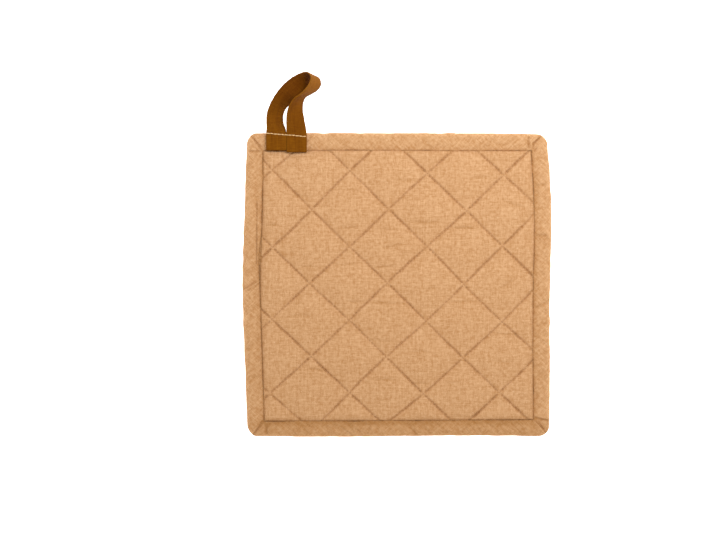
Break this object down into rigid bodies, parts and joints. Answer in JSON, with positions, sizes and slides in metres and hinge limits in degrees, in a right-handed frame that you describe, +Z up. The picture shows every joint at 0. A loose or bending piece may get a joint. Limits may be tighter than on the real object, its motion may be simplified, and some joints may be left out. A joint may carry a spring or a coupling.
{
  "type": "pot holder",
  "caption": "Square quilted cloth pot holder with a bound edge and a hanging loop of webbing sewn to one corner, lying flat.",
  "frame": {"origin": "on the surface it lies on, under the middle of its bounding box", "axes": "+Z up out of its front face, +Y along the side that carries the loop, towards the loop's end, +X to the right seen from the front"},
  "size_m": [0.2226, 0.2606, 0.0308],
  "materials": {
    "cloth": "matt plain weave, quilted in diamonds",
    "binding_cloth": "matt plain weave cut on the bias",
    "webbing": "matt woven tape with fine cross ribs"
  },
  "bodies": {
    "root": {"pad": "cloth", "binding": "binding_cloth", "loop": "webbing"}
  },
  "joints": []
}
